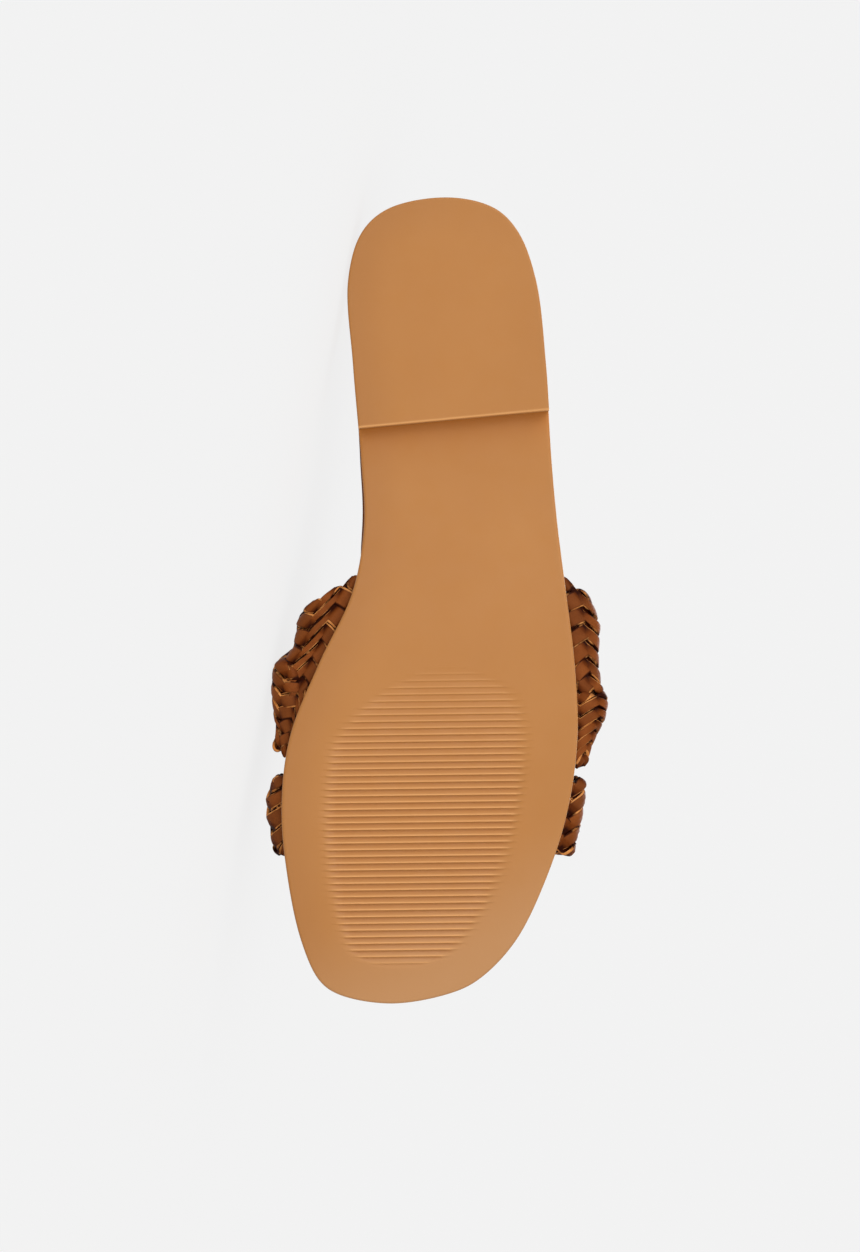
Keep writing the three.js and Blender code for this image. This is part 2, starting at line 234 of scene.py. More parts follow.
def smooth(table, key, value, at):
    """Smooth curve through one column of a table, held level past its ends."""
    xs = np.array(table[key], float)
    ys = np.array(table[value], float)
    before = np.maximum(np.arange(len(xs)) - 1, 0)
    after = np.minimum(np.arange(len(xs)) + 1, len(xs) - 1)
    tangents = (ys[after] - ys[before]) / (xs[after] - xs[before])
    at = np.asarray(at, float)
    i = np.clip(np.searchsorted(xs, at, side="right") - 1, 0, len(xs) - 2)
    span = xs[i + 1] - xs[i]
    t = np.clip((at - xs[i]) / span, 0, 1)
    rise = ys[i + 1] - ys[i]
    a = tangents[i] * span - rise
    b = rise - tangents[i + 1] * span
    return ys[i] + t * rise + t * (1 - t) * (a * (1 - t) + b * t)


def smoothstep(value, low, high):
    t = np.clip((value - low) / (high - low), 0, 1)
    return t * t * (3 - 2 * t)


def wave(strength, rate, travel, phase):
    return strength * np.sin(travel * rate + phase)


# Shoe in the row frame

def basis(along, up):
    along = along / np.linalg.norm(along)
    return np.column_stack([along, np.cross(up, along), up])


def shoe_pose():
    """Turn and shift that take the shoe's frame, in metres, to the row frame, from the record's mounts."""
    mounts = {mount["name"]: mount for mount in frame["record"]["mounts"]}
    heel, ball = (np.array(mounts[name]["pos_m"]) for name in GROUND_POINTS)
    shoe_heel, shoe_ball = (np.array(point, float) * MM for point in GROUND_POINTS.values())
    up = -np.array(mounts["heel_ground"]["axis"])
    turn = basis(ball - heel, up) @ basis(shoe_ball - shoe_heel, np.array([0.0, 0.0, 1.0])).T
    return turn, heel - turn @ shoe_heel


TURN, SHIFT = shoe_pose()


def to_row(points):
    return np.asarray(points, float) * MM @ TURN.T + SHIFT


# Meshes

def make_piece(name, points, faces, material, node, attributes=None, sharp=40):
    """Mesh piece from points in the shoe's frame, which stands for a solid and moves with it."""
    mesh = bpy.data.meshes.new(name)
    mesh.from_pydata(to_row(points).tolist(), [], faces.tolist())
    for key, values in (attributes or {}).items():
        layer = mesh.attributes.new(key, "FLOAT", "POINT")
        layer.data.foreach_set("value", np.asarray(values, np.float32))
    mesh.validate()
    mesh.shade_smooth()
    mesh.set_sharp_from_angle(angle=math.radians(sharp))
    mesh.materials.append(material)
    piece = bpy.data.objects.new(name, mesh)
    bpy.context.scene.collection.objects.link(piece)
    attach(piece, "root")
    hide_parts(node)
    return piece


def closed_sheets(upper, lower):
    """Points and outward faces of the solid between two sheets on one grid of rows and columns."""
    rows, columns = upper.shape[:2]
    top = np.arange(rows * columns).reshape(rows, columns)
    under = top + rows * columns

    def quads(a, b, c, d):
        return np.stack([a.ravel(), b.ravel(), c.ravel(), d.ravel()], axis=1)

    def strip(first, second):
        return quads(first[:-1], first[1:], second[1:], second[:-1])

    faces = np.concatenate([
        quads(top[:-1, :-1], top[:-1, 1:], top[1:, 1:], top[1:, :-1]),
        quads(under[:-1, :-1], under[1:, :-1], under[1:, 1:], under[:-1, 1:]),
        strip(top[:, 0], under[:, 0]),
        strip(under[:, -1], top[:, -1]),
        strip(under[0], top[0]),
        strip(top[-1], under[-1]),
    ])
    return np.concatenate([upper.reshape(-1, 3), lower.reshape(-1, 3)]), faces


def tube_faces(rings):
    """Outward faces of a tube, closed at both ends, from the point numbers of its rings."""
    size = rings.shape[1]
    after = np.roll(rings, -1, axis=1)
    sides = np.stack([rings[:-1], after[:-1], after[1:], rings[1:]], axis=2).reshape(-1, 4)
    low = np.arange(size // 2 - 1)
    high = size - 1 - low
    cap = np.column_stack([low, low + 1, high - 1, high])
    return np.concatenate([sides, rings[0][cap[:, ::-1]], rings[-1][cap]])


# Sole

def catmull_rom(points, steps=24):
    """Closed centripetal curve through points, as short straight steps."""
    p1 = np.array(points, float)
    p0, p2, p3 = np.roll(p1, 1, 0), np.roll(p1, -1, 0), np.roll(p1, -2, 0)
    spans = ((p0, p1), (p1, p2), (p2, p3))
    d0, d1, d2 = (np.linalg.norm(b - a, axis=1)[:, None] ** 0.5 for a, b in spans)
    m1 = ((p1 - p0) / d0 - (p2 - p0) / (d0 + d1) + (p2 - p1) / d1) * d1
    m2 = ((p2 - p1) / d1 - (p3 - p1) / (d1 + d2) + (p3 - p2) / d2) * d1
    t = np.linspace(0, 1, steps, endpoint=False)[None, :, None]
    a, b, m, n = (v[:, None, :] for v in (p1, p2, m1, m2))
    curve = a + m * t + (3 * (b - a) - 2 * m - n) * t**2 + (2 * (a - b) + m + n) * t**3
    return curve.reshape(-1, 2)


def sole_outline():
    inner = list(zip(OUTLINE["inner"], OUTLINE["y"]))
    outer = list(zip(OUTLINE["outer"], OUTLINE["y"]))
    return catmull_rom([HEEL_TIP, *inner, TOE_TIP, *reversed(outer)])


EDGE = sole_outline()
TOE_INDEX = int(np.argmax(EDGE[:, 1]))


def set_in(outline, inset):
    """Outline drawn in by a distance at each of its points."""
    along = np.roll(outline, -1, 0) - np.roll(outline, 1, 0)
    along /= np.linalg.norm(along, axis=1)[:, None]
    inward = np.column_stack([along[:, 1], -along[:, 0]])
    return outline + inward * np.broadcast_to(inset, len(outline))[:, None]


def edge_x(side, y):
    """Place of the sole's inner or outer edge at distances from the heel."""
    if side == "inner":
        chain = EDGE[: TOE_INDEX + 1]
    else:
        chain = np.vstack([EDGE[TOE_INDEX:], EDGE[:1]])[::-1]
    return np.interp(y, chain[:, 1], chain[:, 0])


def underside(y):
    return np.maximum(smooth(PROFILE, "y", "z", y), 0)


def outsole_top(y):
    return underside(y) + OUTSOLE_THICKNESS


def insole_bottom(y):
    return outsole_top(y) + GAP


def eased(count):
    """Shares from 0 to 1 that lie close together at both ends."""
    return (1 - np.cos(np.linspace(0, math.pi, count))) / 2


def lines_across(outline, slant, levels, shares):
    """Grid of points on slanted lines across an outline: a line for each level, a point for each share."""
    level = outline[:, 1] - slant * outline[:, 0]
    heel, toe = int(np.argmin(level)), int(np.argmax(level))
    turned = np.roll(outline, -heel, 0)
    split = (toe - heel) % len(outline)
    chains = [turned[: split + 1], np.vstack([turned[split:], turned[:1]])[::-1]]
    ends = []
    for chain in chains:
        height = np.maximum.accumulate(chain[:, 1] - slant * chain[:, 0])
        ends.append(np.column_stack([np.interp(levels, height, chain[:, k]) for k in (0, 1)]))
    inner, outer = ends
    return inner[:, None, :] + (outer - inner)[:, None, :] * np.asarray(shares)[None, :, None]


def level_range(outline, slant, margin=0.004):
    """Lowest and highest level of slanted lines that cross an outline."""
    level = outline[:, 1] - slant * outline[:, 0]
    return level.min() + margin, level.max() - margin


def distance_to(outline, grid, chunks=24):
    """Distance of each grid point from the nearest stretch of an outline, worked out chunk by chunk."""
    points = grid.reshape(-1, 2)
    start, run = outline, np.roll(outline, -1, 0) - outline
    length = (run**2).sum(1)
    nearest = []
    for chunk in np.array_split(points, chunks):
        offset = chunk[:, None, :] - start[None]
        share = np.clip((offset * run).sum(2) / length, 0, 1)
        nearest.append(np.linalg.norm(offset - share[:, :, None] * run, axis=2).min(1))
    return np.concatenate(nearest).reshape(grid.shape[:2])


def edge_round(distance, radius):
    """How far a rounded edge falls away at a distance from the edge."""
    inside = radius - np.minimum(distance, radius)
    return radius - np.sqrt(radius**2 - inside**2)


def painted_border_shade_share(distance, x):
    """Share of the painted shade that darkens the rubber towards its edge, more so on the inner side."""
    side = BORDER_SHADE["share"] - BORDER_SHADE["swing"] * np.tanh(x / BORDER_SHADE["turn"])
    return side * (1 - smoothstep(distance, 0, BORDER_SHADE["reach"]))


def raised(grid, z):
    return np.dstack([grid, z])


def breast_line():
    """Slant of the heel's front edge across the sole, and its distance from the heel on the long axis."""
    inner = np.array([edge_x("inner", BREAST["inner"]), BREAST["inner"]])
    outer = np.array([edge_x("outer", BREAST["outer"]), BREAST["outer"]])
    slant = (outer[1] - inner[1]) / (outer[0] - inner[0])
    return slant, inner[1] - slant * inner[0]


def outsole_levels():
    """Levels of the outsole's lines, which follow the ribs and close up towards heel and toe."""
    low, high = level_range(EDGE, RIB_SLANT)
    rib_start = RIB_FIRST_CREST - RIB_PITCH
    rib_count = math.floor((RIB_PATCH["y"][-1] + RIB_PITCH - rib_start) / RIB_PITCH)
    rib_end = rib_start + rib_count * RIB_PITCH
    behind = np.linspace(0, math.pi / 2, OUTSOLE_LINES["behind_ribs"])[:-1]
    past = np.linspace(0, math.pi / 2, OUTSOLE_LINES["past_ribs"])
    return np.concatenate([
        low + (rib_start - low) * (1 - np.cos(behind)),
        (rib_start + RIB_PITCH * (np.arange(rib_count)[:, None] + RIB_ROWS)).ravel(),
        rib_end + (high - rib_end) * np.sin(past),
    ])


def ribs(x, y):
    """Groove depth, and the shares of painted highlight on the rib crests and painted shade in the grooves.
    """
    inner_room = x - smooth(RIB_PATCH, "y", "inner", y)
    outer_room = smooth(RIB_PATCH, "y", "outer", y) - x
    within = smoothstep(inner_room, 0, RIB_FADE) * smoothstep(outer_room, 0, RIB_FADE)
    depth = smooth(RIB_PATCH, "y", "depth", y) * within
    from_crest = np.mod((y - RIB_SLANT * x - RIB_FIRST_CREST) / RIB_PITCH, 1)
    groove = np.minimum(smoothstep(from_crest, 0, RIB_DROP), (1 - from_crest) / (1 - RIB_DROP))
    share = depth / max(RIB_PATCH["depth"])
    # Painted highlight along each rib's crest
    painted_highlight = share * np.exp(-((np.minimum(from_crest, 1 - from_crest) / RIB_HIGHLIGHT_WIDTH) ** 2))
    # Painted shade deep in each groove
    painted_groove_shade = GROOVE_SHADE["share"] * share * groove ** GROOVE_SHADE["sharpness"]
    return depth * groove, painted_highlight, painted_groove_shade


def outsole(material):
    """Ribbed outsole, with the shares of the painted shade, sheen, bounce light and highlights on its
    rubber.
    """
    grid = lines_across(EDGE, RIB_SLANT, outsole_levels(), eased(OUTSOLE_LINES["across"]))
    x, y = grid[:, :, 0], grid[:, :, 1]
    distance = distance_to(EDGE, grid)
    grooves, painted_highlight, painted_groove_shade = ribs(x, y)
    radius = EDGE_RADIUS["outsole"]
    bottom = raised(grid, underside(y) + edge_round(distance, radius) + grooves)
    top = raised(grid, outsole_top(y) - edge_round(distance, radius / 2))
    points, faces = closed_sheets(top, bottom)
    slant, breast = breast_line()
    # Shares of painted light: shade along the rim, sheen towards the toe, warm bounce light in the heel's
    # shadow, shade in the grooves and highlights on the crests
    shades = {
        "painted_border_shade": painted_border_shade_share(distance, x),
        "toe": smoothstep(y + TOE_SHEEN_TILT * x, *TOE_SHEEN_REACH),
        "corner": np.exp(-np.abs(y - slant * x - breast) / BOUNCE_LIGHT_REACH),
        "painted_groove_shade": painted_groove_shade,
        "painted_highlight": painted_highlight,
    }
    attributes = {name: np.tile(shade.ravel(), 2) for name, shade in shades.items()}
    return make_piece("outsole_body", points, faces, material, "outsole", attributes)


def heel_lift(material):
    """Heel block, which ends at a slanted front edge with a painted highlight along it."""
    slant, breast = breast_line()
    low, _ = level_range(EDGE, slant)
    levels = low + (breast - low) * eased(HEEL_LINES["along"])
    grid = lines_across(EDGE, slant, levels, eased(HEEL_LINES["across"]))
    distance = distance_to(EDGE, grid)
    from_breast = np.broadcast_to((breast - levels)[:, None] / math.hypot(1, slant), distance.shape)
    top = raised(grid, underside(grid[:, :, 1]) - SEAM)
    bottom = raised(grid, edge_round(np.minimum(distance, from_breast), EDGE_RADIUS["heel"]))
    points, faces = closed_sheets(top, bottom)
    # Painted highlight along the heel's front edge, and painted shade along its rim
    edge_highlight = 1 - smoothstep(from_breast, *HEEL_EDGE_HIGHLIGHT)
    attributes = {
        "painted_highlight": np.concatenate([np.zeros(edge_highlight.size), edge_highlight.ravel()]),
        "painted_border_shade": np.tile(painted_border_shade_share(distance, grid[:, :, 0]).ravel(), 2),
    }
    return make_piece("heel_block", points, faces, material, "heel_lift", attributes)


def strap_ends():
    """Stretch along the sole that each strap end takes on its side."""
    for strap in (UNDER_STRAP, OVER_STRAP, TOE_STRAP):
        for side, end in (("inner", 0), ("outer", -1)):
            middle, half = strap["middle"][end], strap["width"][end] / 2
            yield side, middle - half, middle + half


def notch_share(x, y):
    """Share of the notches' height under the footbed, where the strap ends lie."""
    notch = np.zeros_like(x)
    for side, start, end in strap_ends():
        from_edge = np.abs(x - edge_x(side, y))
        near = 1 - smoothstep(from_edge, TAB["length"], TAB["length"] + NOTCH_MARGIN)
        along = smoothstep(y, start - NOTCH_MARGIN, start) * (1 - smoothstep(y, end, end + NOTCH_MARGIN))
        notch = np.maximum(notch, near * along)
    return notch


def footbed(material):
    """Padded footbed with a rounded edge, a low crown and the dents of heel and ball."""
    inset = np.where(
        np.arange(len(EDGE)) <= TOE_INDEX,
        smooth(INSOLE_INSET, "y", "inner", EDGE[:, 1]),
        smooth(INSOLE_INSET, "y", "outer", EDGE[:, 1]),
    )
    outline = set_in(EDGE, inset)
    low, high = level_range(outline, 0)
    levels = low + (high - low) * eased(FOOTBED_LINES["along"])
    grid = lines_across(outline, 0, levels, eased(FOOTBED_LINES["across"]))
    x, y = grid[:, :, 0], grid[:, :, 1]
    distance = distance_to(outline, grid)
    middle = (edge_x("inner", y) + edge_x("outer", y)) / 2
    sag = np.zeros_like(x)
    for dent in DENTS.values():
        from_dent = ((x - middle) / dent["across"]) ** 2 + ((y - dent["y"]) / dent["along"]) ** 2
        sag += dent["depth"] * np.exp(-from_dent)
    crown = CROWN["height"] * smoothstep(distance, 0, CROWN["reach"])
    thickness = INSOLE_THICKNESS - edge_round(distance, EDGE_RADIUS["footbed"]) - sag + crown
    notch_height = TAB["thickness"] + GAP
    bottom = raised(grid, insole_bottom(y) - GAP + SEAM + notch_share(x, y) * (notch_height + GAP))
    top = raised(grid, insole_bottom(y) + thickness)
    points, faces = closed_sheets(top, bottom)
    piece = make_piece("footbed", points, faces, material, "insole")
    return piece


# Last and straps

def bezier(points, steps):
    t = np.linspace(0, 1, steps)[:, None]
    a, b, c = points
    return a * (1 - t) ** 2 + 2 * b * t * (1 - t) + c * t**2


def straight(a, b):
    return a, (a + b) / 2, b


def last_side(side, inward, y, at, base):
    """Points on one side of the last's section, from the end of a strap's tab up to the shoulder."""
    lean = math.tan(math.radians(SIDE_LEAN))
    edge = float(edge_x(side, y))
    insole_edge = edge + inward * (float(smooth(INSOLE_INSET, "y", side, y)) - 2 * GAP)
    bend = max(inward * (insole_edge - at[side]) - WALL, TIGHTEST_BEND)
    rise = min(bend, BEND_RISE)
    wide = insole_edge - inward * bend
    shoulder = np.array([wide + inward * lean * (at["shoulder"] - base), at["shoulder"]])
    foot = np.array([wide + inward * lean * rise, base + rise])
    return {
        "tab": np.array([edge + inward * TAB["length"], base]),
        "corner": np.array([insole_edge, base]),
        "wide": np.array([wide, base]),
        "foot": foot,
        "rounding": foot + (shoulder - foot) * (1 - SHOULDER_ROUND / np.linalg.norm(shoulder - foot)),
        "shoulder": shoulder,
    }


def last_section(y):
    """Section of the last across the shoe: its points, and the lengths at which a strap's zones end."""
    base = float(outsole_top(y)) + GAP + TAB["thickness"]
    at = {name: float(smooth(LAST, "y", name, y)) for name in LAST if name != "y"}
    inner = last_side("inner", 1, y, at, base)
    outer = last_side("outer", -1, y, at, base)
    crown = np.array([at["ridge"], at["crown"]])
    inner_roof, outer_roof = ((side["shoulder"] + crown) / 2 for side in (inner, outer))
    stretches = [
        straight(inner["tab"], inner["corner"]),
        (inner["corner"], inner["wide"], inner["foot"]),
        straight(inner["foot"], inner["rounding"]),
        (inner["rounding"], inner["shoulder"], inner_roof),
        (inner_roof, crown, outer_roof),
        (outer_roof, outer["shoulder"], outer["rounding"]),
        straight(outer["rounding"], outer["foot"]),
        (outer["foot"], outer["wide"], outer["corner"]),
        straight(outer["corner"], outer["tab"]),
    ]
    curves = [bezier(stretch, SECTION_STEPS) for stretch in stretches]
    points = np.vstack([curves[0], *(curve[1:] for curve in curves[1:])])
    length = np.concatenate([[0], np.cumsum(np.linalg.norm(np.diff(points, axis=0), axis=1))])
    steps = SECTION_STEPS - 1
    ends = length[[0, steps, 2 * steps, -2 * steps - 1, -steps - 1, -1]]
    return points, length, ends


class Strap:
    """Place of a strap on the last: rows run along it, and the shoe's Y across it.

    The last's skin is a grid along the shoe and in rows, and the last cell's size keeps a place inside it.
    The first rows of a bend are as thin as the tab before them.
    """

    Y_START, Y_END, Y_STEP = 104, 216, 1
    ROW_STEP = 0.1
    LAST_CELL = 1.001
    THIN_ROWS = 1

    def __init__(self, table):
        self.table = table
        self.rows = table["rows"] + 2 * (TAB_ROWS + BEND_ROWS)
        first = TAB_ROWS + BEND_ROWS
        zone_rows = [0, TAB_ROWS, first, self.rows - first, self.rows - TAB_ROWS, self.rows]
        self.row_grid = np.arange(0, self.rows + self.ROW_STEP / 2, self.ROW_STEP)
        self.skin = []
        for y in np.arange(self.Y_START, self.Y_END + self.Y_STEP, self.Y_STEP):
            points, length, ends = last_section(y)
            wanted = np.interp(self.row_grid, zone_rows, ends)
            at = np.column_stack([np.interp(wanted, length, points[:, k]) for k in (0, 1)])
            along = np.column_stack([np.gradient(at[:, k], wanted) for k in (0, 1)])
            along /= np.linalg.norm(along, axis=1)[:, None]
            self.skin.append(np.column_stack([at, -along[:, 1], along[:, 0]]))
        self.skin = np.array(self.skin)
        row = self.row_grid
        centre = self.place(row, np.full(len(row), 0.5), np.zeros(len(row)))
        steps = np.linalg.norm(np.diff(centre, axis=0), axis=1)
        self.length = np.concatenate([[0], np.cumsum(steps)])
        width = self.column("width", row)
        self.turns = np.concatenate([[0], np.cumsum(steps / ((width[1:] + width[:-1]) / 2))])

    def column(self, name, row):
        return smooth(self.table, "share", name, (row - TAB_ROWS - BEND_ROWS) / self.table["rows"])

    def full(self, row):
        """Share of the wall's whole thickness, which thins towards the tabs."""
        return smoothstep(np.minimum(row, self.rows - row) - TAB_ROWS, self.THIN_ROWS, BEND_ROWS)

    def place(self, row, across, height, lifted=True):
        """Points at rows along the strap, shares across it and heights over its inner face or the last."""
        y = self.column("middle", row) + self.column("width", row) * (across - 0.5)
        i = np.clip((y - self.Y_START) / self.Y_STEP, 0, len(self.skin) - self.LAST_CELL)
        j = np.clip(row / self.ROW_STEP, 0, len(self.row_grid) - self.LAST_CELL)
        i0, j0 = i.astype(int), j.astype(int)
        u, v = (i - i0)[..., None], (j - j0)[..., None]
        near = self.skin[i0, j0] * (1 - v) + self.skin[i0, j0 + 1] * v
        far = self.skin[i0 + 1, j0] * (1 - v) + self.skin[i0 + 1, j0 + 1] * v
        skin = near * (1 - u) + far * u
        full = self.full(row)
        squeeze = (TAB["thickness"] + full * (WALL - TAB["thickness"])) / WALL
        lift = self.column("lift", row) * full if lifted else 0
        out = lift + height * squeeze
        return np.stack([skin[..., 0] + skin[..., 2] * out, y, skin[..., 1] + skin[..., 3] * out], axis=-1)


def lining(name, strap, rise, material, node):
    """Backing of a strap from the last up to its braid, set in from the braid's edges."""
    rows = np.linspace(LINING["end"], strap.rows - LINING["end"], LINING_LINES["along"])
    row, column = np.meshgrid(rows, np.linspace(0, 1, LINING_LINES["across"]), indexing="ij")
    margin = LINING["inset"] / strap.column("width", row)
    across = margin + column * (1 - 2 * margin)
    upper = strap.place(row, across, np.full(row.shape, LINING["thickness"]))
    lower = strap.place(row, across, np.full(row.shape, rise), lifted=False)
    points, faces = closed_sheets(upper, lower)
    return make_piece(name, points, faces, material, node)


# Braid

def ring(column, under=1):
    """Column of a strip's section, over its face and back along its underside."""
    values = np.array(STRIP_SECTION[column], float)
    return np.concatenate([values, under * values[::-1]])


RING_ACROSS = ring("across")
RING_HEIGHT = ring("height", under=-1)
RING_EDGE = ring("edge")


def crossing_height(step):
    """Side of the braid, from -1 to 1, that a strip going outwards is on: over two and under two."""
    swing = np.sin(math.pi * (step + 1) / 2)
    return np.tanh(CROSSING_SHARPNESS * swing) / math.tanh(CROSSING_SHARPNESS)


def strip_samples(strap, count, first):
    """Places along a strip, in crossings, close together where it rolls over an edge."""
    ends = (STRIP_END, strap.rows - STRIP_END)
    low, high = (np.interp(row, strap.row_grid, strap.turns) * count for row in ends)
    plain = np.arange(low, high, STRIP_STEP)
    laps = np.arange(math.ceil((low + first) / count), math.floor((high + first) / count) + 1)
    edges = laps * count - first
    reach = ROLL_SAMPLES["reach"]
    near = (edges[:, None] + np.linspace(-reach, reach, ROLL_SAMPLES["count"])).ravel()
    clear = np.abs(plain[:, None] - edges).min(1) > ROLL_SAMPLES["clear"]
    samples = np.concatenate([plain[clear], near])
    return np.sort(samples[(samples >= low) & (samples <= high)])


def strip_path(strap, count, first, shift, samples, rng):
    """Middle line of one strip in the flat braid, as mm along, across and up, and how the strip lies on it.

    A strip runs slantwise to one edge of the strap, rolls over and runs back in the other layer. With the
    path come the way that the strip's face looks, its bulge at an edge, its twist and its width.
    """
    travel = samples + first
    lap = np.mod(travel, 2 * count)
    outward = lap < count
    lattice = np.where(outward, lap, 2 * count - lap)
    row = np.interp(samples / count, strap.turns, strap.row_grid)
    along = np.interp(samples / count, strap.turns, strap.length)
    cell = strap.column("width", row) / count
    side = crossing_height(samples + shift) * np.where(outward, 1, -1)
    face = np.where(np.mod(np.floor(travel / count), 2) == 0, 1.0, -1.0)

    roll = STRIP_LAYER * math.pi / 2 / cell
    at_inner = lattice < count / 2
    to_edge = np.where(at_inner, lattice, count - lattice)
    rolling = to_edge < roll
    toward = np.where(at_inner, -1, 1)
    arriving = at_inner != outward
    rolled = (roll - to_edge) / (2 * roll)
    angle = math.pi * np.where(arriving, rolled, 1 - rolled)
    start_side = np.where(arriving, side, -side)
    start_face = np.where(arriving, face, -face)
    straight_end = np.where(at_inner, roll, count - roll)

    across = np.where(rolling, straight_end * cell + toward * STRIP_LAYER * np.sin(angle), lattice * cell)
    height = np.where(rolling, start_side * STRIP_LAYER * np.cos(angle), STRIP_LAYER * side)
    look_across = np.where(rolling, start_face * start_side * toward * np.sin(angle), 0)
    look_up = np.where(rolling, start_face * np.cos(angle), face)
    bulge = np.where(rolling, toward * np.sin(angle), 0)

    phases = rng.uniform(0, 2 * math.pi, 3)
    twist = wave(*TWIST_WAVES[0], travel, phases[0]) + wave(*TWIST_WAVES[1], travel, phases[1])
    across = across + wave(*SWAY_WAVE, travel, phases[2]) * np.minimum(to_edge, 1)
    width = STRIP_FILL * cell * math.sqrt(2) * (1 + wave(*WIDTH_WAVE, travel, phases[1]))
    path = np.column_stack([along, across, height])
    look = np.column_stack([np.zeros(len(path)), look_across, look_up])
    return path, look, bulge, twist, width


def strip_rings(strap, path, look, bulge, twist, width):
    """Rings of points round a strip on its strap, kept over the middle of the strap's backing."""
    ahead = np.gradient(path, axis=0)
    ahead /= np.linalg.norm(ahead, axis=1)[:, None]
    sideways = np.cross(ahead, look)
    sideways /= np.linalg.norm(sideways, axis=1)[:, None]
    normal = np.cross(sideways, ahead)
    turned = sideways * np.cos(twist)[:, None] + normal * np.sin(twist)[:, None]
    normal = np.cross(turned, ahead)
    half = width / 2
    flat = (
        path[:, None, :]
        + turned[:, None, :] * (RING_ACROSS * half[:, None])[:, :, None]
        + normal[:, None, :] * (RING_HEIGHT * STRIP_THICKNESS)[None, :, None]
    )
    flat[:, :, 1] += LOBE * bulge[:, None] * (1 - RING_ACROSS**2)[None, :]
    row = np.interp(flat[:, :, 0], strap.length, strap.row_grid)
    share = flat[:, :, 1] / strap.column("width", row)
    height = np.maximum(BRAID_MIDDLE + flat[:, :, 2], LINING["thickness"] / 2)
    return strap.place(row, share, height)


def braid(name, strap, count, shift, material, node, rng):
    """Flat plait of leather strips on a strap, as one joined mesh."""
    points, faces, edges, tones, depths = [], [], [], [], []
    start = 0
    for k in range(count):
        first = 2 * k + shift
        samples = strip_samples(strap, count, first)
        path, look, bulge, twist, width = strip_path(strap, count, first, shift, samples, rng)
        rings = strip_rings(strap, path, look, bulge, twist, width)
        along, around = rings.shape[:2]
        faces.append(tube_faces(np.arange(along * around).reshape(along, around) + start))
        points.append(rings.reshape(-1, 3))
        edges.append(np.tile(RING_EDGE, along))
        tones.append(np.full(along * around, rng.uniform()))
        depths.append(np.repeat(path[:, 2] / STRIP_LAYER, around))
        start += along * around
    attributes = {
        "edge": np.concatenate(edges),
        "tone": np.concatenate(tones),
        "depth": np.concatenate(depths),
    }
    points, faces = np.concatenate(points), np.concatenate(faces)
    return make_piece(name, points, faces, material, node, attributes, BRAID_SHARP)


# Materials

class Nodes:
    """Short hand for building one material's nodes."""

    def __init__(self, name):
        self.material = bpy.data.materials.new(name)
        self.material.use_nodes = True
        self.tree = self.material.node_tree
        self.shader = self.tree.nodes["Principled BSDF"]

    def add(self, kind, **values):
        node = self.tree.nodes.new(kind)
        for key, value in values.items():
            if key in node.inputs:
                node.inputs[key].default_value = value
            else:
                setattr(node, key, value)
        return node

    def link(self, source, target):
        self.tree.links.new(source, target)

    def feed(self, key, source):
        """Link another node's output to an input of the shader."""
        self.link(source, self.shader.inputs[key])

    def set(self, **values):
        """Constant values on the shader's own inputs."""
        for key, value in values.items():
            self.shader.inputs[key.replace("_", " ")].default_value = value

    def coordinates(self):
        return self.add("ShaderNodeTexCoord").outputs["Object"]

    def noise(self, scale, detail, roughness=0.5):
        node = self.add("ShaderNodeTexNoise", Scale=scale, Detail=detail, Roughness=roughness)
        self.link(self.coordinates(), node.inputs["Vector"])
        return node.outputs["Fac"]

    def attribute(self, name):
        return self.add("ShaderNodeAttribute", attribute_name=name).outputs["Fac"]

    def mix(self, factor, first, second):
        """Colour between two, each a colour or another node's output."""
        node = self.add("ShaderNodeMix", data_type="RGBA")
        self.link(factor, node.inputs["Factor"])
        for socket, value in ((node.inputs[6], first), (node.inputs[7], second)):
            if isinstance(value, tuple):
                socket.default_value = (*value, 1)
            else:
                self.link(value, socket)
        return node.outputs[2]

    def product(self, first, second):
        node = self.add("ShaderNodeMath", operation="MULTIPLY")
        self.link(first, node.inputs[0])
        self.link(second, node.inputs[1])
        return node.outputs[0]

    def span(self, value, low, high, to_low=0.0, to_high=1.0):
        """Value spread from one range to another and held at its ends."""
        node = self.add("ShaderNodeMapRange")
        self.link(value, node.inputs["Value"])
        for key, number in zip(("From Min", "From Max", "To Min", "To Max"), (low, high, to_low, to_high)):
            node.inputs[key].default_value = number
        return node.outputs["Result"]

    def bump(self, height, strength, distance, before=None):
        node = self.add("ShaderNodeBump", Strength=strength, Distance=distance)
        self.link(height, node.inputs["Height"])
        if before is not None:
            self.link(before, node.inputs["Normal"])
        return node.outputs["Normal"]


CARAMEL = (0.352, 0.137, 0.0234)
CARAMEL_WARM = (0.37, 0.148, 0.0276)
# Painted light on the rubber: shade along the rim, sheen towards the toe, warm bounce light in the heel's
# shadow, shade in the grooves, and highlights on the rib crests and the heel's front edge
RUBBER_PAINTED_LIGHT = {
    "painted_border_shade": (0.312, 0.119, 0.021),
    "toe": (0.395, 0.186, 0.064),
    "corner": (0.41, 0.13, 0.004),
    "painted_groove_shade": (0.28, 0.088, 0.009),
    "painted_highlight": (0.56, 0.265, 0.085),
}
# Strip browns: base and lighter patches, a painted sheen for the tops, and a darker brown for random tone
# and for painted shade where strips dip and in the crevices along their edges
BROWN = (0.116, 0.0226, 0.0014)
BROWN_LIGHT = (0.19, 0.046, 0.0066)
BROWN_SHEEN = (0.27, 0.09, 0.027)
BROWN_DARK_AND_SHADE = (0.02, 0.0025, 0.0002)
COVER = (0.112, 0.026, 0.0036)
COVER_LIGHT = (0.142, 0.035, 0.0056)
RAW_EDGE = (0.4, 0.138, 0.03)
RAW_EDGE_LIGHT = (0.56, 0.235, 0.07)


